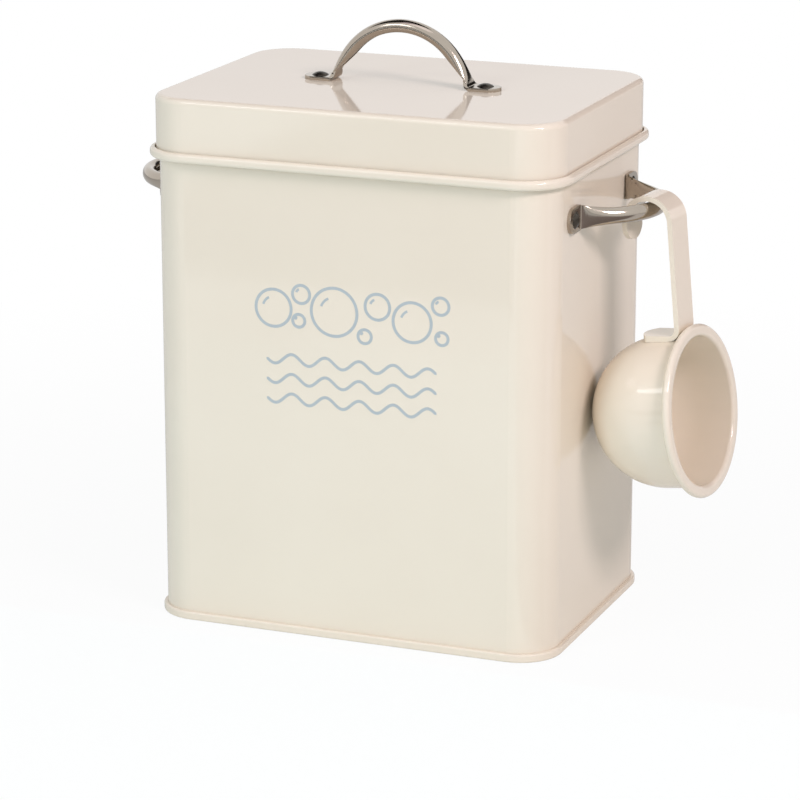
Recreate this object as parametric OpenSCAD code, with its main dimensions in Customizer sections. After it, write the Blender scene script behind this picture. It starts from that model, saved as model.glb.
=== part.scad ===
// Sheet-metal storage tin for powder, with a lift-off lid, three riveted bow handles and a hanging scoop.
// Millimetres. The origin is the middle of the base, the front faces -Y and +Z is up.

/* [Box] */
// Width over the base seam
box_w = 160; // [130:1:240]
// Depth over the base seam
box_d = 117; // [110:1:200]
// Height from the floor to the top of the lid
box_h = 200; // [170:1:300]
// Outer corner radius of the body wall, seen from above
corner_r = 15; // [10:0.5:18]
// Thickness of the sheet steel
sheet = 0.5; // [0.4:0.05:0.65]
// How far the base seam stands out from the body wall
seam_out = 1.5; // [1.5:0.1:2.4]
// Height of the base seam
seam_h = 3.2; // [3:0.1:6]
// Rounding of the base seam's edges
seam_r = 0.8; // [0.5:0.1:1]
// Diameter of the curl that makes the body's top edge safe
rim_curl = 2.4; // [2:0.1:3.5]
// Width of the folded side seam inside the back wall
side_seam_w = 6; // [4:0.5:10]
// Width of the fine groove that shows beside the side seam outside
groove_w = 0.4; // [0.2:0.05:0.8]
// Gap between the folded layers of the base seam and in the scoop's weld
fold_gap = 0.05; // [0.03:0.01:0.08]

/* [Lid] */
// Clearance between the lid's skirt and the body wall
lid_gap = 0.8; // [0.6:0.05:1.5]
// Clearance between the lid's panel and the body's rim
lid_rest_gap = 0.3; // [0.2:0.05:0.6]
// Height of the lid from its top to the underside of its curl
lid_h = 23.4; // [16:0.2:40]
// Rounding of the lid's top edge
lid_edge_r = 2.2; // [1.2:0.1:5]
// How far the curl stands out from the lid's skirt
curl_out = 2.4; // [2:0.1:4]
// Height of the curl
curl_h = 3.6; // [3.4:0.1:6]
// Width of the open slit in the curl
curl_slit = 0.6; // [0.4:0.05:0.8]

/* [Handles] */
// Flat side wall left beyond a centred handle at each end
handle_margin = 3; // [1:0.1:8]
// Height of a handle's bow above its feet, as a share of its length
rise_share = 0.3115; // [0.28:0.0005:0.34]
// Length of a flat foot from its tip to the bend
foot_l = 10.7; // [9.8:0.1:12]
// Width of the bow where it is a full channel
bow_w = 6; // [5:0.1:7.5]
// Depth of the bow's channel from its ridge to its edges
bow_h = 4.7; // [3.6:0.1:5.5]
// Width of the flat legs
leg_w = 8.2; // [7.6:0.1:9.5]
// Width of the feet
foot_w = 9.6; // [8.6:0.1:11]
// Thickness of the strip
strip_t = 1.4; // [1:0.1:1.8]
// Radius of the bend between a foot and its leg
bend_r = 1.2; // [0.8:0.1:2]
// Distance of a rivet from the foot's tip
rivet_inset = 6; // [5:0.1:7]
// Shank diameter of a rivet
rivet_d = 3.2; // [2.4:0.1:4]
// Diameter of a rivet's head
rivet_head_d = 6.4; // [5.5:0.1:7.5]
// Height of a rivet's head
rivet_head_h = 1.2; // [1:0.1:2.2]
// Height of a rivet's flattened tail inside the sheet
rivet_tail_h = 1; // [0.6:0.1:1.6]
// Clearance of a rivet's shank in its hole, all round
shank_gap = 0.05; // [0.03:0.01:0.15]
// Angle from the bow's top at which the full channel begins to open
channel_full = 48; // [40:1:56]
// Angle from the bow's top at which the strip is flat
channel_none = 77; // [66:1:77]
// Distance of the side handles' middle below the lid
side_handle_drop = 15; // [9:0.2:60]
// How far the left handle's middle lies behind the body's middle
left_handle_y = -4; // [-4:0.5:4]
// How far the right handle's middle lies behind the body's middle
right_handle_y = 0.5; // [-4:0.5:4]

/* [Scoop] */
// Outer diameter of the bowl
bowl_d = 56.8; // [45:0.2:64]
// Depth of the bowl over its rim
bowl_depth = 42.5; // [38:0.5:50]
// Wall of the bowl
bowl_wall = 0.8; // [0.6:0.1:1.2]
// Width of the rolled rim across the mouth's edge
rolled_w = 4.5; // [3.6:0.1:5]
// Thickness of the rolled rim along the bowl's axis
rolled_h = 3; // [2.6:0.1:3.5]
// Width of the scoop's strap
strap_w = 13.6; // [10:0.2:16]
// Thickness of the scoop's strap
strap_t = 1.9; // [1.2:0.1:2.4]
// Inside radius of the crook that hangs on the bow
crook_r = 8; // [7:0.1:9]
// Length of the crook's tip below the middle of its bend
crook_tip = 7.2; // [6:0.2:12]
// Length of the strap between the crook's bend and its lower bend
strap_l = 39.6; // [30:0.2:50]
// Inside radius of the strap's lower bend
elbow_r = 2.5; // [1.5:0.1:4]
// Length of the welded tab on the bowl
tab_l = 12; // [8:0.5:13]
// How deep the bowl is seated in the underside of the welded tab at its end
tab_seat = 0.1; // [0.05:0.05:0.3]
// Gap between the strap and the rolled rim behind it
rim_gap = 0.4; // [0.2:0.05:1]
// Angle by which the bowl's mouth looks up from the strap's square
bowl_nod = 2.8; // [0:0.1:4]
// How far round the bow the scoop hangs from the bow's middle, in degrees
scoop_turn = 6.1; // [0:0.1:12]
// How far in from the bow's ridge the crook's middle hangs
crook_in = 2.9; // [2.6:0.1:3.6]
// Clearance between the crook and the bow
crook_gap = 0.3; // [0.2:0.05:0.6]
// Clearance between the hanging bowl and the wall
bowl_gap = 0.3; // [0.2:0.05:1]

/* [Hidden] */
$fn = 96;

coat_cream = "#E7DECF";
nickel = "#B9B5AE";
dark_steel = "#3A3836";

// Body wall, seam and floor
body_w = box_w - 2 * seam_out;
body_d = box_d - 2 * seam_out;
floor_z = seam_h - sheet;
body_bottom = sheet + fold_gap;
body_top = box_h - sheet - lid_rest_gap;
seam_in = 2 * sheet + fold_gap;
hook_out = seam_out - sheet - fold_gap;
hook_top = seam_h - 2 * sheet - fold_gap;
flange_bottom = body_bottom + sheet + fold_gap;
flange_top = seam_h - sheet / 2;
side_seam_t = 2 * sheet;
groove_depth = sheet / 2;

// Lid, measured outward from the body wall
lid_out = lid_gap + sheet;
panel_out = lid_out - lid_edge_r;
skirt_bottom = box_h - lid_h;
side_handle_z = skirt_bottom - side_handle_drop;

// Rivet tails inside the sheet, and the holes
rivet_tail_d = 1.6 * rivet_d;
hole_d = rivet_d + 2 * shank_gap;

// Handle: its length from the flat of the side wall, its bends, and the bow's arc that touches both bends
handle_l = body_d - 2 * corner_r - 2 * handle_margin;
handle_rise = rise_share * handle_l;
bend_x = handle_l / 2 - foot_l;
bend_z = strip_t + bend_r;
bow_depth = handle_rise - bend_z;
bow_r = (pow(bend_x, 2) / (bend_r + bow_depth) - bend_r + bow_depth) / 2;
arc_z = handle_rise - bow_r;
leg_angle = atan2(bend_x, bend_z - arc_z);
rivet_x = handle_l / 2 - rivet_inset;
// How far the swept strip runs on into the foot
foot_lap = strip_t / 2;
// Steps along the bow, along each bend and across the strip
arc_steps = 36;
bend_steps = 5;
edge_steps = 6;
// Flat web between the channel's round corners, as a share of the half width: on the bow and at the feet
web_bow = 0.03;
web_foot = 0.7;
// Angle that the channel's edges are folded round to: on the bow, at the feet, and the fold's start there
wrap_bow = 112;
wrap_foot = 80;
fold_start = 30;

// Scoop: its bowl, its rolled rim and the place of its crook on the right handle's bow
bowl_r = bowl_d / 2;
mouth_r = bowl_r - bowl_wall;
bowl_straight = bowl_depth - rolled_h / 2 - bowl_r;
elbow_out = elbow_r + strap_t;
elbow_at = [crook_r - elbow_r, -strap_l];
// Round ends of the strap: their middles up the strap, and the length that they take
tip_rise = strap_w / 4;
tip_reach = norm([strap_w / 2, tip_rise]) - tip_rise;
tab_rise = strap_w / 2;
tab_reach = norm([strap_w / 2, tab_rise]) - tab_rise;
// How far the tab's sides reach down round the bowl
saddle = bowl_r - sqrt(pow(bowl_r, 2) - pow(strap_w / 2, 2));
bowl_x = elbow_out + rim_gap + rolled_h / 2;
bowl_z = -(elbow_out - tab_seat - tab_l * tan(bowl_nod) + fold_gap + bowl_r);
crook_radius_out = bow_r - crook_in;
crook_x = body_w / 2 + arc_z + crook_radius_out * cos(scoop_turn);
crook_y = right_handle_y - crook_radius_out * sin(scoop_turn);
// The crook rides on the bow's inner edge at the strap's corners
edge_in = sqrt(pow(bow_r - bow_h, 2) - pow(strap_w / 2, 2));
crook_rise = sqrt(pow(crook_r, 2) - pow(crook_radius_out - edge_in, 2));
crook_z = side_handle_z + bow_w / 2 * sin(wrap_bow) + crook_gap - crook_rise;

// The scoop leans out until the round end of its bowl lies bowl_gap from the wall
ball_u = elbow_at[0] + (bowl_x - bowl_straight) * cos(bowl_nod) - bowl_z * sin(bowl_nod);
ball_v = elbow_at[1] + (bowl_x - bowl_straight) * sin(bowl_nod) + bowl_z * cos(bowl_nod);
ball_reach = (body_w / 2 + bowl_gap + bowl_r - crook_x) / cos(scoop_turn);
scoop_lean = -acos(ball_reach / norm([ball_u, ball_v])) - atan2(ball_v, ball_u);

// Plan of a rounded rectangle
module rounded_rect(w, d, r) {
    square([w - 2 * r, d], center = true);
    square([w, d - 2 * r], center = true);
    for (sx = [-1, 1], sy = [-1, 1])
        translate([sx * (w / 2 - r), sy * (d / 2 - r)])
            circle(r);
}

// Bar with round ends, with its lower left corner at the origin
module round_bar(w, h) {
    r = min(w, h) / 2;
    translate([r, r])
        circle(r);
    if (w > h)
        translate([r, 0])
            square([w - h, h]);
    if (h > w)
        translate([0, r])
            square([w, h - w]);
    if (w != h)
        translate([w - r, h - r])
            circle(r);
}

// Sweeps a profile around the body's outline: the profile's X runs outward from the wall, its Y runs up
module around_body() {
    for (turn = [0, 180])
        rotate([0, 0, turn]) {
            translate([0, -body_d / 2, 0])
                rotate([90, 0, -90])
                    linear_extrude(body_w - 2 * corner_r, center = true)
                        children();
            translate([body_w / 2, 0, 0])
                rotate([90, 0, 0])
                    linear_extrude(body_d - 2 * corner_r, center = true)
                        children();
            for (side = [0, 1])
                translate([(1 - 2 * side) * (body_w / 2 - corner_r), body_d / 2 - corner_r, 0])
                    rotate([0, 0, 90 * side])
                        rotate_extrude(angle = 90)
                            translate([corner_r, 0])
                                children();
        }
}

// Sheet rolled into an open curl w wide and h tall, with its slit beside the wall at x = 0 to t
module open_curl(w, h, t, slit) {
    difference() {
        round_bar(w, h);
        translate([t, t])
            round_bar(w - 2 * t, h - 2 * t);
        translate([t, h / 2])
            square([slit, h]);
    }
}

// Ring sector between two angles less than half a turn apart
module ring_sector(r_in, r_out, from, to) {
    far = 2 * r_out;
    middle = (from + to) / 2;
    intersection() {
        difference() {
            circle(r_out);
            circle(r_in);
        }
        polygon(concat([[0, 0]], [for (a = [from, middle, to]) far * [cos(a), sin(a)]]));
    }
}

// Places a handle's own frame (length along X, bow up +Z) on the lid or on a side wall
module on_lid() {
    translate([0, 0, box_h])
        children();
}

module on_left_wall() {
    translate([-body_w / 2, left_handle_y, side_handle_z])
        rotate([0, -90, 0])
            rotate([0, 0, 90])
                children();
}

module on_right_wall() {
    translate([body_w / 2, right_handle_y, side_handle_z])
        rotate([0, 90, 0])
            rotate([0, 0, 90])
                children();
}

module rivet_holes() {
    for (s = [-1, 1])
        translate([s * rivet_x, 0, 0])
            cylinder(d = hole_d, h = 4 * (strip_t + sheet), center = true);
}

// Pair of rivets through a handle's feet and the sheet behind them
module rivet_pair() {
    ball_r = (pow(rivet_head_h, 2) + pow(rivet_head_d / 2, 2)) / (2 * rivet_head_h);
    for (s = [-1, 1])
        translate([s * rivet_x, 0, 0])
            rotate_extrude() {
                intersection() {
                    translate([0, strip_t + rivet_head_h - ball_r])
                        circle(ball_r);
                    translate([0, strip_t])
                        square([rivet_head_d, rivet_head_h]);
                }
                translate([0, -sheet])
                    square([rivet_d / 2, sheet + strip_t]);
                translate([0, -sheet - rivet_tail_h])
                    square([rivet_tail_d / 2, rivet_tail_h]);
            }
}

function blend(a, b, t) = a + (b - a) * t;
function reversed(list) = [for (i = [len(list) - 1 : -1 : 0]) list[i]];
function opening(angle) = (abs(angle) - channel_full) / (channel_none - channel_full);
function channel_share(angle) = 1 - pow(min(1, max(0, opening(angle))), 2);

// Half of the channel at a share k of its full fold: [share of the half width, share of the depth]
function half_channel(k) =
    let (from = blend(fold_start, 0, k), wrap = blend(wrap_foot, wrap_bow, k),
        web = blend(web_foot, web_bow, k),
        wide = sin(min(90, wrap)) - sin(from), deep = cos(from) - cos(wrap))
    [for (i = [0 : edge_steps])
        let (a = blend(from, wrap, i / edge_steps))
        [blend(web, 1, (sin(a) - sin(from)) / wide), (cos(from) - cos(a)) / deep]];
function half_section(half, depth, top, k) = [for (p = half_channel(k))
    [half * p[0], -top - depth * p[1]]];
function across(side) = concat([for (p = reversed(side)) [-p[0], p[1]]], side);

// Section across the strip: [across, out], first along its outside, then back along its inside
function section(half, k) =
    let (depth = bow_h * k)
    concat(across(half_section(half, depth, 0, k)),
        reversed(across(half_section(half - min(strip_t, depth), max(0, depth - strip_t), strip_t, k))));

// Stations along the strip: [x, z, angle of the outward side from +Z, half width, share of the full fold]
function foot_station(side) = [side * (bend_x + foot_lap), strip_t, 0, foot_w / 2, 0];
function bend_stations(side) = [for (i = [0 : bend_steps - 1])
    let (t = i / bend_steps, turn = side * leg_angle * t)
    [side * bend_x - bend_r * sin(turn), bend_z - bend_r * cos(turn), turn,
        blend(foot_w, leg_w, t) / 2, 0]];
function arc_stations() = [for (i = [0 : arc_steps])
    let (turn = blend(-leg_angle, leg_angle, i / arc_steps), k = channel_share(turn))
    [bow_r * sin(turn), arc_z + bow_r * cos(turn), turn, blend(leg_w, bow_w, k) / 2, k]];
function half_stations(side) = concat([foot_station(side)], bend_stations(side));
function strip_stations() = concat(half_stations(-1), arc_stations(), reversed(half_stations(1)));
function ring_at(s) = [for (p = section(s[3], s[4]))
    [s[0] + p[1] * sin(s[2]), p[0], s[1] + p[1] * cos(s[2])]];

// Strip from bend to bend: flat where it leaves the feet, pressed to a deep channel over the bow
module bow_strip() {
    rings = [for (s = strip_stations()) ring_at(s)];
    count = len(rings[0]);
    last = len(rings) - 1;
    sides = [for (j = [0 : last - 1], i = [0 : count - 1])
        let (a = j * count + i, b = j * count + (i + 1) % count)
        each [[a, b, b + count], [a, b + count, a + count]]];
    first_end = [for (i = [0 : count / 2 - 2])
        let (m = count - 1 - i)
        each [[i + 1, i, m], [i + 1, m, m - 1]]];
    last_end = [for (f = first_end) [for (i = reversed(f)) last * count + i]];
    polyhedron([for (r = rings) each r], concat(sides, first_end, last_end));
}

// Handle of one strip: round-ended feet, bends and bow
module bow_handle() {
    difference() {
        union() {
            bow_strip();
            for (s = [-1, 1])
                linear_extrude(strip_t) {
                    translate([s * (handle_l - foot_w) / 2, 0])
                        circle(d = foot_w);
                    translate([s * ((handle_l - foot_w) / 2 + bend_x) / 2, 0])
                        square([(handle_l - foot_w) / 2 - bend_x, foot_w], center = true);
                }
        }
        rivet_holes();
    }
}

// Wrapped wall: curled in at the top, hooked out into the base seam, closed by a folded seam at the back
module body_shell() {
    color(coat_cream)
        difference() {
            union() {
                around_body() {
                    translate([-sheet, body_bottom])
                        square([sheet, body_top - rim_curl / 2 - body_bottom]);
                    translate([0, body_top])
                        rotate(180)
                            open_curl(rim_curl, rim_curl, sheet, sheet);
                    translate([-sheet, body_bottom])
                        square([sheet + hook_out, sheet]);
                    translate([hook_out - sheet, body_bottom])
                        square([sheet, hook_top - body_bottom]);
                }
                translate([-side_seam_w / 2, body_d / 2 - sheet - side_seam_t, floor_z + fold_gap])
                    cube([side_seam_w, side_seam_t, body_top - rim_curl - floor_z - fold_gap]);
            }
            translate([side_seam_w / 2, body_d / 2 - groove_depth, seam_h])
                cube([groove_w, 2 * groove_depth, body_top - seam_h - rim_curl]);
            on_left_wall()
                rivet_holes();
            on_right_wall()
                rivet_holes();
        }
}

// Pressed base: sunk floor, countersink wall and a double seam folded round the body's hook
module base_panel() {
    color(coat_cream) {
        around_body() {
            difference() {
                translate([(seam_out - seam_in) / 2, seam_h / 2])
                    rounded_rect(seam_out + seam_in, seam_h, seam_r);
                translate([-sheet - fold_gap, sheet])
                    square([seam_out + fold_gap, seam_h - 2 * sheet]);
                translate([-sheet - fold_gap, sheet])
                    square([sheet + 2 * fold_gap, seam_h]);
                translate([-seam_in - sheet, floor_z])
                    square([seam_in + sheet, seam_h]);
            }
            translate([fold_gap, flange_bottom])
                square([hook_out - sheet - 2 * fold_gap, flange_top - flange_bottom]);
        }
        // The floor runs half a sheet into the countersink wall
        translate([0, 0, floor_z - sheet])
            linear_extrude(sheet)
                rounded_rect(body_w - 2 * seam_in + sheet, body_d - 2 * seam_in + sheet,
                    corner_r - seam_in + sheet / 2);
    }
}

// Drawn lid: flat panel, rounded edge, skirt and an open curl at its lower edge
module lid_shell() {
    color(coat_cream)
        difference() {
            union() {
                around_body() {
                    translate([panel_out, box_h - lid_edge_r])
                        ring_sector(lid_edge_r - sheet, lid_edge_r, 0, 90);
                    translate([lid_gap, skirt_bottom + curl_h / 2])
                        square([sheet, lid_h - lid_edge_r - curl_h / 2]);
                    translate([lid_gap, skirt_bottom])
                        open_curl(sheet + curl_out, curl_h, sheet, curl_slit);
                }
                translate([0, 0, box_h - sheet])
                    linear_extrude(sheet)
                        rounded_rect(body_w + 2 * panel_out, body_d + 2 * panel_out, corner_r + panel_out);
            }
            on_lid()
                rivet_holes();
        }
}

module lid_handle() {
    color(nickel)
        on_lid()
            bow_handle();
}

module lid_handle_rivets() {
    color(dark_steel)
        on_lid()
            rivet_pair();
}

module left_handle() {
    color(nickel)
        on_left_wall()
            bow_handle();
}

module left_handle_rivets() {
    color(dark_steel)
        on_left_wall()
            rivet_pair();
}

module right_handle() {
    color(nickel)
        on_right_wall()
            bow_handle();
}

module right_handle_rivets() {
    color(dark_steel)
        on_right_wall()
            rivet_pair();
}

// Hangs the scoop's own frame (crook's middle at the origin, mouth toward +X) on the right handle's bow
module hung() {
    translate([crook_x, crook_y, crook_z])
        rotate([0, 0, -scoop_turn])
            rotate([0, -scoop_lean, 0])
                children();
}

// Frame of the bowl in the strap's lower bend, nodded up from the strap's square
module on_elbow() {
    translate([elbow_at[0], 0, elbow_at[1]])
        rotate([0, -bowl_nod, 0])
            children();
}

// Drawn bowl: round end, short straight wall and a rolled rim
module scoop_bowl() {
    color(coat_cream)
        hung()
            on_elbow()
                translate([bowl_x, 0, bowl_z])
                    rotate([0, 90, 0])
                        rotate_extrude() {
                            translate([0, -bowl_straight])
                                ring_sector(mouth_r, bowl_r, -90, 0);
                            translate([mouth_r, -bowl_straight])
                                square([bowl_wall, bowl_straight]);
                            translate([mouth_r, rolled_h / 2])
                                mirror([0, 1])
                                    open_curl(rolled_w, rolled_h, bowl_wall, bowl_wall / 2);
                        }
}

// Corners beyond the round end of a strap that runs down -Y, with the round's middle rise up the strap
module end_corners(rise) {
    linear_extrude(4 * strap_t, center = true)
        difference() {
            translate([-strap_w, -strap_w])
                square([2 * strap_w, strap_w + rise]);
            translate([0, rise])
                circle(norm([strap_w / 2, rise]));
        }
}

// Strap bent to a crook at the top and to a tab, saddled and welded on the bowl, at the bottom
module scoop_handle() {
    color(coat_cream)
        hung()
            difference() {
                rotate([90, 0, 0])
                    linear_extrude(strap_w, center = true) {
                        ring_sector(crook_r, crook_r + strap_t, 0, 90);
                        ring_sector(crook_r, crook_r + strap_t, 90, 180);
                        translate([-crook_r - strap_t, -crook_tip])
                            square([strap_t, crook_tip]);
                        translate([crook_r, -strap_l])
                            square([strap_t, strap_l]);
                        translate(elbow_at) {
                            ring_sector(elbow_r, elbow_out, -90, 0);
                            translate([-tab_l, -elbow_out - saddle])
                                square([tab_l, strap_t + saddle]);
                        }
                    }
                translate([-crook_r - strap_t / 2, 0, tip_reach - crook_tip])
                    rotate([90, 0, 90])
                        end_corners(tip_rise);
                translate([elbow_at[0] + tab_reach - tab_l, 0, elbow_at[1] - elbow_out])
                    rotate([0, 0, -90])
                        end_corners(tab_rise);
                on_elbow()
                    translate([bowl_x, 0, bowl_z])
                        rotate([0, -90, 0])
                            cylinder(r = bowl_r + fold_gap, h = 2 * bowl_depth, center = true);
            }
}

body_shell();
base_panel();
lid_shell();
lid_handle();
lid_handle_rivets();
left_handle();
left_handle_rivets();
right_handle();
right_handle_rivets();
scoop_bowl();
scoop_handle();
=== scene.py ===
"""Looks of a sheet-metal powder box: coated body, lid and scoop, nickel bow handles, and a plain studio."""
import math

import bpy
from mathutils import Matrix, Vector


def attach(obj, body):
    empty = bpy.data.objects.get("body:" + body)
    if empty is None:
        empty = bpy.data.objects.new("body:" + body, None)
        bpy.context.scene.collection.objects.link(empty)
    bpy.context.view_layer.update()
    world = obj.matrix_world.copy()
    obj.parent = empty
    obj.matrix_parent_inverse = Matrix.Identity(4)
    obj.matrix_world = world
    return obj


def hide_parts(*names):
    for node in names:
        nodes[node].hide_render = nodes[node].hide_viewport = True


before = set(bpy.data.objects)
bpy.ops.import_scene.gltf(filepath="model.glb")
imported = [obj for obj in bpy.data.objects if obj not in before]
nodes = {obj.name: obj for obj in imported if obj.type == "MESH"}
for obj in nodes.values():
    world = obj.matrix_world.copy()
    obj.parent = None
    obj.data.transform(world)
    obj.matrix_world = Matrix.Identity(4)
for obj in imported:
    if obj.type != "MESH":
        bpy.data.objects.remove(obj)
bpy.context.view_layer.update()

MM = 0.001
WHITE = (1, 1, 1, 1)

# Sizes of the box in millimetres, as the solids have them
BOX_H = 200.0
BODY_W = 157.0
BODY_D = 114.0
SHEET = 0.5

# Sizes of a bow handle in millimetres, as the solids have them, and the radius of its tumbled edges
HANDLE_L = 78.0
HANDLE_RISE = 24.297
FOOT_L = 10.7
FOOT_W = 9.6
LEG_W = 8.2
BOW_W = 6.0
BOW_H = 4.7
STRIP_T = 1.4
BEND_R = 1.2
EDGE_R = 0.32
SIDE_HANDLE_Z = 161.6
LEFT_HANDLE_Y = -4.0
RIGHT_HANDLE_Y = 0.5

# Fold of the strip, with the bow's edges rolled in further than on the solids.
# Degrees from the bow's top where the full channel ends, and where the strip is flat:
CHANNEL_FULL = 48.0
CHANNEL_NONE = 77.0
# Share of the width that stays flat, and degrees that the edges turn through:
WEB_BOW = 0.03
WEB_FOOT = 0.7
WRAP_BOW = 150.0
WRAP_FOOT = 80.0
FOLD_START = 30.0

# Middle line of a handle: two bends with an arc between them, and feet that are round from ROUND_FROM on
BEND_X = HANDLE_L / 2 - FOOT_L
BEND_Z = STRIP_T + BEND_R
BOW_RISE = HANDLE_RISE - BEND_Z
BOW_R = (BEND_X ** 2 / (BEND_R + BOW_RISE) - BEND_R + BOW_RISE) / 2
ARC_Z = HANDLE_RISE - BOW_R
LEG_ANGLE = math.atan2(BEND_X, BEND_Z - ARC_Z)
ROUND_FROM = (HANDLE_L - FOOT_W) / 2

# Sizes of a rivet in millimetres, and the rings of its dome as shares of the dome's half angle
HOLE_IN = 6.0
RIVET_X = HANDLE_L / 2 - HOLE_IN
RIVET_D = 3.2
HOLE_D = 3.3
HEAD_D = 6.4
HEAD_H = 1.2
HEAD_LIP = 0.05
TAIL_D = 1.6 * RIVET_D
TAIL_H = 1.0
TAIL_CHAMFER = 0.15
DOME_RINGS = (1, 0.9, 0.78, 0.64, 0.5, 0.36, 0.22, 0.08)

# Print on the front in millimetres: bubbles as (x, z, radius) with a glint between two angles in degrees,
# and waves whose round tips keep the root of the share WAVE_TIP of their stroke
BUBBLES = ((-28, 125, 7), (-17, 131, 3.4), (-18, 121, 2.4), (-4, 125.5, 9), (8, 117.5, 2.6),
           (13, 129, 4.8), (26.5, 124.5, 7.4), (37.5, 131.5, 3.2), (38, 119.5, 2.4))
STROKE = 1.1
GLINT_SHARE = 0.6
GLINT_STROKE = 0.9
GLINT_FROM = 112
GLINT_TO = 165
WAVE_ROWS = (91, 98.5, 106)
WAVE_X = 2.5
WAVE_L = 67.0
WAVE_PITCH = 13.4
WAVE_UP = 1.9
WAVE_TIP = 0.02
FILM_T = 0.05
COAT_GAP = 0.01

# Steps of the meshes, degrees above which an edge is rounded or stays sharp, and limits in millimetres.
# NEAR is a limit in radians too
STRIP_ROWS = 21
FOOT_STEPS = 14
BEND_STEPS = 8
BOW_STEPS = 84
EDGE_STEPS = 3
HOLE_STEPS = 32
TURNED_STEPS = 40
RING_STEPS = 72
WAVE_STEPS = 160
ROUND_ABOVE = 50
SHARP_ABOVE = 40
WELD = 0.002
SLIVER = 0.001
NEAR = 0.001

# Studio in metres: floor, points that lamps and boards face, heights of mats and card, and shares of full white
FLOOR_SIZE = 8.0
FLOOR_DROP = 0.2 * MM
LAMP_AIM = Vector((0, 0, 0.1))
BOARD_AIM = Vector((0, 0, 0.15))
MAT_Z = 2 * MM
CARD_Z = 1 * MM
FLOOR_IN_GLOSS = 0.25
SURROUND_LIGHT = 0.41

# Camera: lens and sensor in millimetres, place in metres, and degrees down and round from the front
CAMERA_LENS = 156.2
CAMERA_SENSOR = 36.0
CAMERA_PLACE = (0.47075, -1.18461, 0.4368)
CAMERA_DOWN = 15.725
CAMERA_ROUND = 21.71


def linear(code):
    """sRGB hex colour as linear RGBA."""
    parts = [int(code[i:i + 2], 16) / 255 for i in (1, 3, 5)]
    return [c / 12.92 if c <= 0.04045 else ((c + 0.055) / 1.055) ** 2.4 for c in parts] + [1.0]


def add(tree, kind, inputs=None, **settings):
    """Adds a node with its settings, and sets or links its inputs."""
    node = tree.nodes.new(kind)
    for key, value in settings.items():
        setattr(node, key, value)
    for key, value in (inputs or {}).items():
        if isinstance(value, bpy.types.NodeSocket):
            tree.links.new(value, node.inputs[key])
        else:
            node.inputs[key].default_value = value
    return node


def blank_material(name):
    """A new material with an empty tree."""
    material = bpy.data.materials.new(name)
    material.use_nodes = True
    material.node_tree.nodes.clear()
    return material, material.node_tree


def cream_powder_coat():
    """Polyester powder sprayed on sheet steel and baked: a smooth cream gloss that mirrors a little."""
    material, tree = blank_material("cream_powder_coat_baked")
    place = add(tree, "ShaderNodeTexCoord").outputs["Object"]
    # Film thickness drifts over about 60 mm, which warms the cream a little
    drift = add(tree, "ShaderNodeTexNoise", {"Vector": place, "Scale": 1 / (60 * MM), "Detail": 2.0})
    cream = add(tree, "ShaderNodeMix", {
        "Factor": drift.outputs["Fac"], "A": linear("#EDE3D1"), "B": linear("#E8DDCA")}, data_type="RGBA")
    # The sheet is never quite flat: swells about 40 mm long, and orange peel about 1.5 mm across
    swell = add(tree, "ShaderNodeTexNoise", {"Vector": place, "Scale": 1 / (40 * MM), "Detail": 0.0})
    flow = add(tree, "ShaderNodeBump", {
        "Height": swell.outputs["Fac"], "Strength": 0.25, "Distance": 0.4 * MM})
    peel = add(tree, "ShaderNodeTexNoise", {"Vector": place, "Scale": 1 / (1.5 * MM), "Detail": 0.0})
    bump = add(tree, "ShaderNodeBump", {
        "Height": peel.outputs["Fac"], "Strength": 0.05, "Distance": 0.02 * MM,
        "Normal": flow.outputs["Normal"]})
    # Gloss varies softly over about 35 mm
    patch = add(tree, "ShaderNodeTexNoise", {"Vector": place, "Scale": 1 / (35 * MM), "Detail": 1.0})
    gloss = add(tree, "ShaderNodeMapRange", {
        "Value": patch.outputs["Fac"], "From Min": 0.2, "From Max": 0.8, "To Min": 0.05, "To Max": 0.08})
    shader = add(tree, "ShaderNodeBsdfPrincipled", {
        "Base Color": cream.outputs["Result"], "Roughness": gloss.outputs["Result"],
        "IOR": 1.5, "Normal": bump.outputs["Normal"]})
    add(tree, "ShaderNodeOutputMaterial", {"Surface": shader.outputs["BSDF"]})
    return material


def polished_nickel():
    """Nickel plate on pressed steel strip, polished: warm bright metal with fine wheel marks."""
    material, tree = blank_material("nickel_plate_polished")
    place = add(tree, "ShaderNodeTexCoord").outputs["Object"]
    # Wheel marks about 0.4 mm apart
    marks = add(tree, "ShaderNodeTexNoise", {"Vector": place, "Scale": 1 / (0.4 * MM), "Detail": 2.0})
    bump = add(tree, "ShaderNodeBump", {
        "Height": marks.outputs["Fac"], "Strength": 0.05, "Distance": 0.03 * MM})
    # Haze in patches about 6 mm across
    haze = add(tree, "ShaderNodeTexNoise", {"Vector": place, "Scale": 1 / (6 * MM), "Detail": 3.0})
    rough = add(tree, "ShaderNodeMapRange", {
        "Value": haze.outputs["Fac"], "From Min": 0.3, "From Max": 0.7, "To Min": 0.10, "To Max": 0.16})
    tint = add(tree, "ShaderNodeMix", {
        "Factor": haze.outputs["Fac"], "A": linear("#BAB0A4"), "B": linear("#AAA094")}, data_type="RGBA")
    shader = add(tree, "ShaderNodeBsdfPrincipled", {
        "Base Color": tint.outputs["Result"], "Metallic": 1.0, "Roughness": rough.outputs["Result"],
        "Normal": bump.outputs["Normal"]})
    add(tree, "ShaderNodeOutputMaterial", {"Surface": shader.outputs["BSDF"]})
    return material


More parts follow.
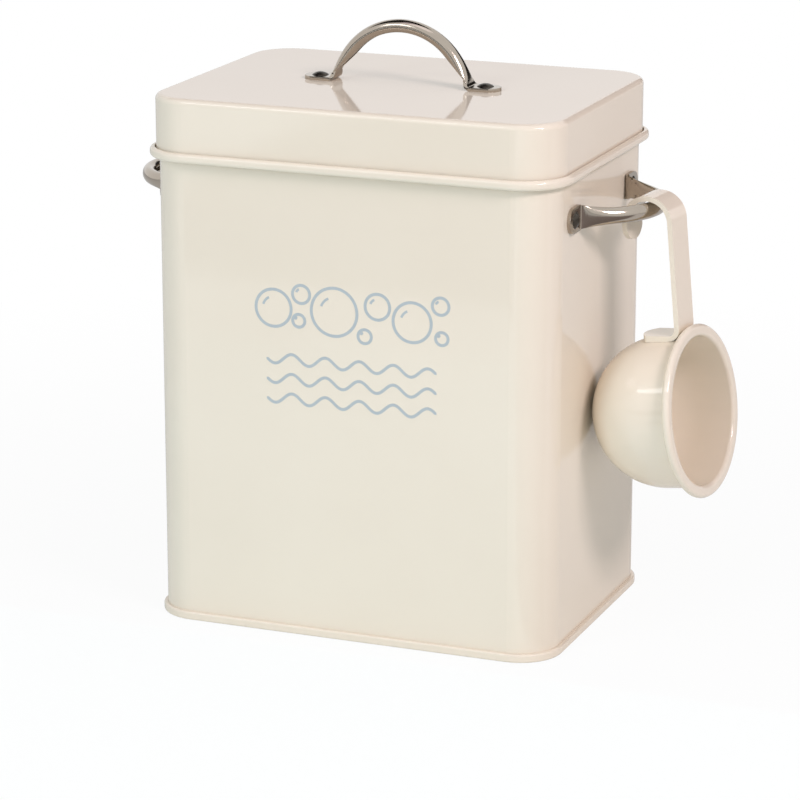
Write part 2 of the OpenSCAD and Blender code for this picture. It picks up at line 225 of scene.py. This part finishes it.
def dark_rivet_steel():
    """Blackened steel rivet, set by a press: dark metal with a sheen and spots of scale."""
    material, tree = blank_material("rivet_steel_blackened")
    place = add(tree, "ShaderNodeTexCoord").outputs["Object"]
    # Scale left by heat, in spots about 1.2 mm across
    spots = add(tree, "ShaderNodeTexNoise", {"Vector": place, "Scale": 1 / (1.2 * MM), "Detail": 3.0})
    tint = add(tree, "ShaderNodeMix", {
        "Factor": spots.outputs["Fac"], "A": linear("#5A544D"), "B": linear("#39352F")}, data_type="RGBA")
    rough = add(tree, "ShaderNodeMapRange", {
        "Value": spots.outputs["Fac"], "From Min": 0.3, "From Max": 0.7, "To Min": 0.24, "To Max": 0.38})
    bump = add(tree, "ShaderNodeBump", {
        "Height": spots.outputs["Fac"], "Strength": 0.15, "Distance": 0.03 * MM})
    shader = add(tree, "ShaderNodeBsdfPrincipled", {
        "Base Color": tint.outputs["Result"], "Metallic": 1.0, "Roughness": rough.outputs["Result"],
        "Normal": bump.outputs["Normal"]})
    add(tree, "ShaderNodeOutputMaterial", {"Surface": shader.outputs["BSDF"]})
    return material


def grey_blue_ink():
    """Screen-printed ink on the coat: a thin matt film with a slightly uneven lay."""
    material, tree = blank_material("screen_ink_grey_blue")
    place = add(tree, "ShaderNodeTexCoord").outputs["Object"]
    # Lay of the ink varies over about 2.5 mm
    lay = add(tree, "ShaderNodeTexNoise", {"Vector": place, "Scale": 1 / (2.5 * MM), "Detail": 3.0})
    tint = add(tree, "ShaderNodeMix", {
        "Factor": lay.outputs["Fac"], "A": linear("#AEB8BC"), "B": linear("#B9C1C3")}, data_type="RGBA")
    rough = add(tree, "ShaderNodeMapRange", {
        "Value": lay.outputs["Fac"], "From Min": 0.3, "From Max": 0.7, "To Min": 0.42, "To Max": 0.55})
    shader = add(tree, "ShaderNodeBsdfPrincipled", {
        "Base Color": tint.outputs["Result"], "Roughness": rough.outputs["Result"]})
    add(tree, "ShaderNodeOutputMaterial", {"Surface": shader.outputs["BSDF"]})
    return material


def studio_board():
    """Pale matt board: it keeps a faint shadow round the object and turns pure white farther off."""
    material, tree = blank_material("studio_board_matt_white")
    place = add(tree, "ShaderNodeTexCoord").outputs["Object"]
    # Paper varies a little over about 60 mm
    grain = add(tree, "ShaderNodeTexNoise", {"Vector": place, "Scale": 1 / (60 * MM), "Detail": 2.0})
    paper = add(tree, "ShaderNodeMix", {
        "Factor": grain.outputs["Fac"], "A": linear("#EEF3F0"), "B": linear("#EAF0ED")}, data_type="RGBA")
    matt = add(tree, "ShaderNodeBsdfDiffuse", {"Color": paper.outputs["Result"]})
    glow = add(tree, "ShaderNodeEmission", {"Color": WHITE, "Strength": 1.0})
    # Share of the glow that the camera sees, from beside the object to 500 mm off
    far = add(tree, "ShaderNodeVectorMath", {0: place}, operation="LENGTH")
    white = add(tree, "ShaderNodeMapRange", {
        "Value": far.outputs["Value"], "From Min": 120 * MM, "From Max": 500 * MM,
        "To Min": 0.93, "To Max": 1.0})
    # Gloss and glass see less of it, so that the shadow stays in the object's own sheen
    path = add(tree, "ShaderNodeLightPath")
    mirrored = add(tree, "ShaderNodeMath", {
        0: path.outputs["Is Glossy Ray"], 1: path.outputs["Is Transmission Ray"]}, operation="MAXIMUM")
    seen = add(tree, "ShaderNodeMath", {
        0: mirrored.outputs[0], 1: FLOOR_IN_GLOSS, 2: path.outputs["Is Camera Ray"]},
        operation="MULTIPLY_ADD")
    share = add(tree, "ShaderNodeMath", {
        0: seen.outputs[0], 1: white.outputs["Result"]}, operation="MULTIPLY")
    mixed = add(tree, "ShaderNodeMixShader", {
        0: share.outputs[0], 1: matt.outputs["BSDF"], 2: glow.outputs["Emission"]})
    add(tree, "ShaderNodeOutputMaterial", {"Surface": mixed.outputs["Shader"]})
    return material


def board_cover(name, dark, light):
    """Felt or paper on a board: matt, with a soft nap."""
    material, tree = blank_material(name)
    place = add(tree, "ShaderNodeTexCoord").outputs["Object"]
    # Nap in patches about 20 mm across, on a board a metre wide
    nap = add(tree, "ShaderNodeTexNoise", {"Vector": place, "Scale": 1 / (20 * MM), "Detail": 2.0})
    shade = add(tree, "ShaderNodeMix", {
        "Factor": nap.outputs["Fac"], "A": linear(dark), "B": linear(light)}, data_type="RGBA")
    shader = add(tree, "ShaderNodeBsdfDiffuse", {"Color": shade.outputs["Result"]})
    add(tree, "ShaderNodeOutputMaterial", {"Surface": shader.outputs["BSDF"]})
    return material


def studio_surround():
    """White where the camera, gloss or glass looks at it, and a weaker light where it falls on the object."""
    world = bpy.data.worlds.new("studio_surround")
    world.use_nodes = True
    tree = world.node_tree
    tree.nodes.clear()
    path = add(tree, "ShaderNodeLightPath")
    direct = add(tree, "ShaderNodeMath", {
        0: path.outputs["Is Camera Ray"], 1: path.outputs["Is Glossy Ray"]}, operation="MAXIMUM")
    seen = add(tree, "ShaderNodeMath", {
        0: direct.outputs[0], 1: path.outputs["Is Transmission Ray"]}, operation="MAXIMUM").outputs[0]
    level = add(tree, "ShaderNodeMapRange", {"Value": seen, "To Min": SURROUND_LIGHT, "To Max": 1.0})
    tint = add(tree, "ShaderNodeMix", {"Factor": seen, "A": linear("#FFF9FC"), "B": WHITE}, data_type="RGBA")
    sky = add(tree, "ShaderNodeBackground", {
        "Color": tint.outputs["Result"], "Strength": level.outputs["Result"]})
    add(tree, "ShaderNodeOutputWorld", {"Surface": sky.outputs["Background"]})
    return world


def only(piece):
    """Makes a piece the only selected and active object."""
    bpy.ops.object.select_all(action="DESELECT")
    piece.select_set(True)
    bpy.context.view_layer.objects.active = piece


def edit_all(piece):
    """Opens a piece in edit mode with everything selected."""
    only(piece)
    bpy.ops.object.mode_set(mode="EDIT")
    bpy.ops.mesh.select_all(action="SELECT")


def outward():
    """Turns all faces outward and leaves edit mode."""
    bpy.ops.mesh.select_all(action="SELECT")
    bpy.ops.mesh.normals_make_consistent(inside=False)
    bpy.ops.object.mode_set(mode="OBJECT")


def named(piece, name):
    """Gives a piece and its mesh one name."""
    piece.name = name
    piece.data.name = name
    return piece


def start(name):
    """Takes the primitive just added as a new piece of that name, in edit mode."""
    piece = named(bpy.context.active_object, name)
    bpy.ops.object.mode_set(mode="EDIT")
    return piece


def pick(piece, kind, test):
    """Selects only the vertices or edges whose middle passes a test, in millimetres, in edit mode."""
    bpy.ops.mesh.select_mode(type={"vertices": "VERT", "edges": "EDGE"}[kind])
    bpy.ops.mesh.select_all(action="DESELECT")
    bpy.ops.object.mode_set(mode="OBJECT")
    points = piece.data.vertices
    for part in getattr(piece.data, kind):
        own = [part.index] if kind == "vertices" else part.vertices
        middle = sum((points[i].co for i in own), Vector()) / len(own) / MM
        part.select = test(middle)
    bpy.ops.object.mode_set(mode="EDIT")


def apply_all(piece):
    """Applies the piece's modifiers in order."""
    only(piece)
    for modifier in list(piece.modifiers):
        bpy.ops.object.modifier_apply(modifier=modifier.name)


def thicken(piece, thickness, way):
    """Gives a sheet its thickness in millimetres: way is 1 along its normals, and -1 against them."""
    wall = piece.modifiers.new("thickness", "SOLIDIFY")
    wall.thickness = thickness * MM
    wall.offset = way
    apply_all(piece)


def smooth(piece):
    """Smooth shading, with sharp edges kept."""
    only(piece)
    bpy.ops.object.shade_smooth_by_angle(angle=math.radians(SHARP_ABOVE))


def coat(piece, material):
    """Gives a piece one material."""
    piece.data.materials.clear()
    piece.data.materials.append(material)


def blend(a, b, t):
    """Value a share t of the way from a to b."""
    return a + (b - a) * t


def channel_share(angle):
    """1 where the bow is a full channel, 0 where the strip is flat."""
    t = min(1.0, max(0.0, (abs(math.degrees(angle)) - CHANNEL_FULL) / (CHANNEL_NONE - CHANNEL_FULL)))
    return 1 - t * t


def strip_station(point):
    """Half width, share of the full fold and outward side of the strip at a point of its middle line."""
    x, z = abs(point.x), point.z
    angle = math.atan2(x, z - ARC_Z)
    if x >= BEND_X - NEAR:
        past = max(0.0, x - ROUND_FROM)
        return math.sqrt(max(0.0, (FOOT_W / 2) ** 2 - past ** 2)), 0.0, Vector((0, 0, 1))
    if angle > LEG_ANGLE + NEAR:
        t = math.atan2(BEND_X - x, BEND_Z - z) / LEG_ANGLE
        bent = math.copysign(t * LEG_ANGLE, point.x)
        return blend(FOOT_W, LEG_W, t) / 2, 0.0, Vector((math.sin(bent), 0, math.cos(bent)))
    k = channel_share(angle)
    bent = math.copysign(angle, point.x)
    return blend(LEG_W, BOW_W, k) / 2, k, Vector((math.sin(bent), 0, math.cos(bent)))


def channel_place(row, k):
    """Shares of the half width and of the channel's depth for a row of the strip, at a share k of the fold."""
    half = (STRIP_ROWS - 1) / 2
    side = 1 if row > STRIP_ROWS / 2 else -1
    step = (row - half - 1 if side > 0 else half - row) / half
    first = math.radians(blend(FOLD_START, 0, k))
    wrap = math.radians(blend(WRAP_FOOT, WRAP_BOW, k))
    a = blend(first, wrap, step)
    wide = (math.sin(a) - math.sin(first)) / (math.sin(min(math.pi / 2, wrap)) - math.sin(first))
    deep = (math.cos(first) - math.cos(a)) / (math.cos(first) - math.cos(wrap))
    return side * blend(blend(WEB_FOOT, WEB_BOW, k), 1, wide), deep


def bent_strip(name):
    """Flat sheet bent along a handle's outside, with rows 1 mm apart: foot, bend, bow, bend and foot."""
    bpy.ops.mesh.primitive_grid_add(x_subdivisions=FOOT_STEPS, y_subdivisions=STRIP_ROWS, size=1.0)
    piece = start(name)
    bpy.ops.transform.resize(value=(FOOT_L * MM, STRIP_ROWS * MM, 1))
    bpy.ops.transform.translate(value=((-HANDLE_L / 2 + FOOT_L / 2) * MM, 0, STRIP_T * MM))
    pick(piece, "edges", lambda m: abs(m.x + BEND_X) < NEAR)
    for steps, angle, x, z, way in (
            (BEND_STEPS, LEG_ANGLE, -BEND_X, BEND_Z, 1),
            (BOW_STEPS, 2 * LEG_ANGLE, 0, ARC_Z, -1),
            (BEND_STEPS, LEG_ANGLE, BEND_X, BEND_Z, 1)):
        bpy.ops.mesh.spin(steps=steps, angle=angle, center=(x * MM, 0, z * MM), axis=(0, way, 0))
    for _ in range(FOOT_STEPS):
        bpy.ops.mesh.extrude_edges_move(TRANSFORM_OT_translate={"value": (FOOT_L / FOOT_STEPS * MM, 0, 0)})
    bpy.ops.mesh.select_all(action="SELECT")
    bpy.ops.mesh.remove_doubles(threshold=WELD * MM)
    outward()
    # An open sheet has no outside of its own, so the bow's top is made to face up
    top = max(piece.data.polygons, key=lambda face: face.center.z)
    if top.normal.z < 0:
        edit_all(piece)
        bpy.ops.mesh.flip_normals()
        bpy.ops.object.mode_set(mode="OBJECT")
    return piece


def press(piece, flat):
    """Presses a strip from its flat outer points: feet rounded, legs narrowed, the bow's edges turned down."""
    for vertex in piece.data.vertices:
        # The inner vertices come after the outer ones, in the same order
        inner = vertex.index >= len(flat)
        point = flat[vertex.index % len(flat)].copy()
        if abs(point.x) > ROUND_FROM:
            past = min(1.0, (abs(point.x) - ROUND_FROM) / (FOOT_W / 2))
            point.x = math.copysign(ROUND_FROM + FOOT_W / 2 * math.sin(past * math.pi / 2), point.x)
        half, k, out = strip_station(point)
        depth = BOW_H * k
        wide, deep = channel_place(round(point.y + STRIP_ROWS / 2), k)
        if inner:
            drop = STRIP_T + max(0.0, depth - STRIP_T) * deep
            half -= min(STRIP_T, depth)
        else:
            drop = depth * deep
        vertex.co = (Vector((point.x, half * wide, point.z)) - out * drop) * MM
    edit_all(piece)
    bpy.ops.mesh.remove_doubles(threshold=WELD * MM)
    bpy.ops.mesh.dissolve_degenerate(threshold=SLIVER * MM)
    outward()


def drill_and_tumble(piece):
    """Makes the holes for the rivets, and rounds the edges."""
    drills = []
    for x in (-RIVET_X, RIVET_X):
        bpy.ops.mesh.primitive_cylinder_add(
            vertices=HOLE_STEPS, radius=HOLE_D / 2 * MM, depth=4 * STRIP_T * MM, location=(x * MM, 0, 0))
        drills.append(bpy.context.active_object)
        hole = piece.modifiers.new("rivet_hole", "BOOLEAN")
        hole.object = drills[-1]
        hole.solver = "EXACT"
    edge = piece.modifiers.new("tumbled_edges", "BEVEL")
    edge.width = EDGE_R * MM
    edge.segments = EDGE_STEPS
    edge.limit_method = "ANGLE"
    edge.angle_limit = math.radians(ROUND_ABOVE)
    apply_all(piece)
    for drill in drills:
        bpy.data.objects.remove(drill)


def bow_handle(name):
    """One pressed strip, along X with its feet on z = 0: round-ended feet, bends and a channel bow."""
    piece = bent_strip(name)
    flat = [vertex.co / MM for vertex in piece.data.vertices]
    thicken(piece, STRIP_T, -1)
    press(piece, flat)
    drill_and_tumble(piece)
    smooth(piece)
    return piece


def turned(name, stations):
    """A turned or pressed round form along Z, from rings of (radius, height) in millimetres."""
    first_r, first_z = stations[0]
    bpy.ops.mesh.primitive_circle_add(vertices=TURNED_STEPS, radius=first_r * MM, fill_type="NGON")
    piece = start(name)
    bpy.ops.transform.translate(value=(0, 0, first_z * MM))
    bpy.ops.mesh.select_mode(type="FACE")
    bpy.ops.mesh.select_all(action="SELECT")
    for (r0, z0), (r1, z1) in zip(stations, stations[1:]):
        bpy.ops.mesh.extrude_region_move(TRANSFORM_OT_translate={"value": (0, 0, (z1 - z0) * MM)})
        bpy.ops.transform.resize(value=(r1 / r0, r1 / r0, 1), center_override=(0, 0, z1 * MM))
    outward()
    smooth(piece)
    return piece


def rivet(name):
    """Domed rivet: tail, shank through sheet and strip, and head."""
    ball_r = (HEAD_H ** 2 + (HEAD_D / 2) ** 2) / (2 * HEAD_H)
    reach = math.asin(HEAD_D / 2 / ball_r)
    dome = [(ball_r * math.sin(reach * k), STRIP_T + HEAD_H - ball_r + ball_r * math.cos(reach * k))
            for k in DOME_RINGS]
    under = -SHEET - TAIL_H
    return turned(name, [
        (TAIL_D / 2 - TAIL_CHAMFER, under), (TAIL_D / 2, under + TAIL_CHAMFER), (TAIL_D / 2, -SHEET),
        (RIVET_D / 2, -SHEET), (RIVET_D / 2, STRIP_T), (HEAD_D / 2 - HEAD_LIP, STRIP_T)] + dome)


def placed(piece, name, matrix):
    """A copy of a modelled piece with its own mesh, moved to its place."""
    copy = piece.copy()
    copy.data = piece.data.copy()
    bpy.context.scene.collection.objects.link(copy)
    copy.data.transform(matrix)
    return named(copy, name)


def joined(pieces, name):
    """Joins pieces to one of that name."""
    only(pieces[0])
    for piece in pieces:
        piece.select_set(True)
    bpy.ops.object.join()
    return named(pieces[0], name)


def shift(x, y, z):
    """Move in millimetres."""
    return Matrix.Translation(Vector((x, y, z)) * MM)


def turn(degrees, axis):
    """Turn about an axis of the frame."""
    return Matrix.Rotation(math.radians(degrees), 4, axis)


def film_sheet(piece):
    """Gives a flat print its thickness, upward."""
    bpy.ops.object.mode_set(mode="OBJECT")
    thicken(piece, FILM_T, 1)
    edit_all(piece)
    outward()
    return piece


def ring(name, r, stroke):
    """Flat ring of a stroke's width about the origin, in edit mode."""
    bpy.ops.mesh.primitive_circle_add(vertices=RING_STEPS, radius=(r + stroke / 2) * MM, fill_type="NOTHING")
    piece = start(name)
    inner = (r - stroke / 2) / (r + stroke / 2)
    bpy.ops.mesh.select_all(action="SELECT")
    bpy.ops.mesh.extrude_edges_move()
    bpy.ops.transform.resize(value=(inner, inner, 1))
    return piece


def bubble(name, x, z, r):
    """Outline of a soap bubble with a glint: a ring, and a short arc inside it at its upper left."""
    outline = film_sheet(ring(name, r, STROKE))
    glint = ring(name + "_glint", GLINT_SHARE * r, GLINT_STROKE)
    pick(glint, "vertices", lambda m: not GLINT_FROM < math.degrees(math.atan2(m.y, m.x)) < GLINT_TO)
    bpy.ops.mesh.delete(type="VERT")
    piece = joined([outline, film_sheet(glint)], name)
    piece.data.transform(shift(x, z, COAT_GAP))
    return piece


def wave(name, z):
    """Line of even stroke with round ends that swings up and down along X."""
    bpy.ops.mesh.primitive_grid_add(x_subdivisions=WAVE_STEPS, y_subdivisions=2, size=1.0)
    piece = start(name)
    bpy.ops.transform.resize(value=(WAVE_L * MM, STROKE * MM, 1))
    bpy.ops.object.mode_set(mode="OBJECT")
    for vertex in piece.data.vertices:
        x, off = vertex.co.x / MM, vertex.co.y / MM
        end = (abs(x) - (WAVE_L - STROKE) / 2) / (STROKE / 2)
        if end > 0:
            off *= math.sqrt(max(WAVE_TIP, 1 - end ** 2))
        phase = 2 * math.pi * x / WAVE_PITCH
        slope = math.atan(WAVE_UP * 2 * math.pi / WAVE_PITCH * math.cos(phase))
        vertex.co.x = (x - off * math.sin(slope) + WAVE_X) * MM
        vertex.co.y = (WAVE_UP * math.sin(phase) + off * math.cos(slope) + z) * MM
    film_sheet(piece)
    piece.data.transform(shift(0, 0, COAT_GAP))
    return piece


def softbox(name, place, width, height, power, colour):
    """Oblong lamp, in metres and watts, that looks at the middle of the box."""
    data = bpy.data.lights.new(name, "AREA")
    data.shape = "RECTANGLE"
    data.size = width
    data.size_y = height
    data.energy = power
    data.color = linear(colour)[:3]
    lamp = bpy.data.objects.new(name, data)
    bpy.context.scene.collection.objects.link(lamp)
    lamp.location = place
    lamp.rotation_euler = (LAMP_AIM - Vector(place)).to_track_quat("-Z", "Y").to_euler()
    return lamp


def board(name, place, size, shade, lying=False, bounce=False):
    """Board beside the set: a flag that only shows in gloss and metal, or a card that only bounces light."""
    bpy.ops.mesh.primitive_plane_add(size=1.0)
    piece = named(bpy.context.active_object, name)
    piece.scale = (size[0], size[1], 1)
    piece.location = place
    aim = Vector((0, 0, 1)) if lying else BOARD_AIM - Vector(place)
    piece.rotation_euler = aim.to_track_quat("Z", "Y").to_euler()
    coat(piece, shade)
    piece.visible_camera = False
    piece.visible_diffuse = bounce
    piece.visible_glossy = not bounce
    piece.visible_shadow = False
    piece.visible_transmission = False


ON_FRONT = shift(0, -BODY_D / 2, 0) @ turn(90, "X")
ON_LID = shift(0, 0, BOX_H)
ON_LEFT_WALL = shift(-BODY_W / 2, LEFT_HANDLE_Y, SIDE_HANDLE_Z) @ turn(-90, "Y") @ turn(90, "Z")
ON_RIGHT_WALL = shift(BODY_W / 2, RIGHT_HANDLE_Y, SIDE_HANDLE_Z) @ turn(90, "Y") @ turn(90, "Z")

bpy.ops.object.select_all(action="DESELECT")
cream = cream_powder_coat()
nickel = polished_nickel()
rivet_steel = dark_rivet_steel()
ink = grey_blue_ink()

# Coated sheet: the solids have the right shape and get the coat
for node in ("body_shell", "base_panel", "lid_shell", "scoop_bowl", "scoop_handle"):
    coat(nodes[node], cream)

# Handles and rivets
strip = bow_handle("strip_pattern")
pin = rivet("rivet_pattern")
for side, body, matrix in (
        ("lid", "lid", ON_LID), ("left", "box", ON_LEFT_WALL), ("right", "box", ON_RIGHT_WALL)):
    bow = placed(strip, side + "_bow", matrix)
    coat(bow, nickel)
    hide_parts(side + "_handle")
    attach(bow, body)
    pair = [placed(pin, side + "_pin_" + end, matrix @ shift(x, 0, 0))
            for end, x in (("a", -RIVET_X), ("b", RIVET_X))]
    pins = joined(pair, side + "_pins")
    coat(pins, rivet_steel)
    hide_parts(side + "_handle_rivets")
    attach(pins, body)
bpy.data.objects.remove(strip)
bpy.data.objects.remove(pin)

# Print on the front: soap bubbles over three waves of water
film = [bubble("bubble_%d" % i, *spot) for i, spot in enumerate(BUBBLES)]
film += [wave("wave_%d" % i, z) for i, z in enumerate(WAVE_ROWS)]
print_film = joined(film, "front_print")
print_film.data.transform(ON_FRONT)
coat(print_film, ink)
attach(print_film, "box")

# Studio: a pale floor and a white surround
bpy.ops.mesh.primitive_plane_add(size=FLOOR_SIZE, location=(0, 0, -FLOOR_DROP))
floor = named(bpy.context.active_object, "studio_floor")
coat(floor, studio_board())
bpy.context.scene.world = studio_surround()

# The large front lamp lights through cloth and leaves no glint; the strip above it draws one along each edge
softbox("front_softbox", (-0.5, -1.55, 0.6), 0.6, 0.6, 7.5, "#E2F5FF").visible_glossy = False
softbox("strip_softbox", (-0.66, -1.185, 1.16), 0.6, 0.3, 2.7, "#F6FBFF")
softbox("top_softbox", (-0.1, -0.3, 1.7), 0.9, 0.9, 1.5, "#FFF2FF")
softbox("right_softbox", (1.12, -0.6, 1.0), 0.5, 0.28, 10.6, "#FFF2F8")

# Flags and mats darken what gloss and metal mirror, and the card lightens the foot of the front
black_felt = board_cover("flag_felt_black", "#2B2826", "#353230")
grey_felt = board_cover("mat_felt_grey", "#8C8682", "#96908C")
pale_paper = board_cover("card_paper_pale_green", "#ECFCFB", "#EEFDFC")
board("front_flag", (-0.8, -2.4, 0.38), (4.0, 0.3), black_felt)
board("back_flag", (0.36, 1.42, 0.56), (0.92, 0.7), black_felt)
board("ceiling_flag", (-0.6, 0.4, 1.7), (1.6, 1.4), black_felt)
board("right_mat", (0.57, -0.5, MAT_Z), (0.97, 0.9), grey_felt, lying=True)
board("front_mat", (-0.2, -0.85, MAT_Z), (0.4, 0.6), black_felt, lying=True)
board("front_card", (-0.05, -0.26, CARD_Z), (0.6, 0.38), pale_paper, lying=True, bounce=True)

# Camera: stands to the right of the front and looks a little down
eye = bpy.data.cameras.new("photo_camera")
eye.lens = CAMERA_LENS
eye.sensor_width = CAMERA_SENSOR
camera = bpy.data.objects.new("photo_camera", eye)
bpy.context.scene.collection.objects.link(camera)
camera.location = CAMERA_PLACE
camera.rotation_euler = (math.radians(90 - CAMERA_DOWN), 0, math.radians(CAMERA_ROUND))
bpy.context.scene.camera = camera

bpy.context.scene.view_settings.view_transform = "Standard"

bpy.context.view_layer.update()
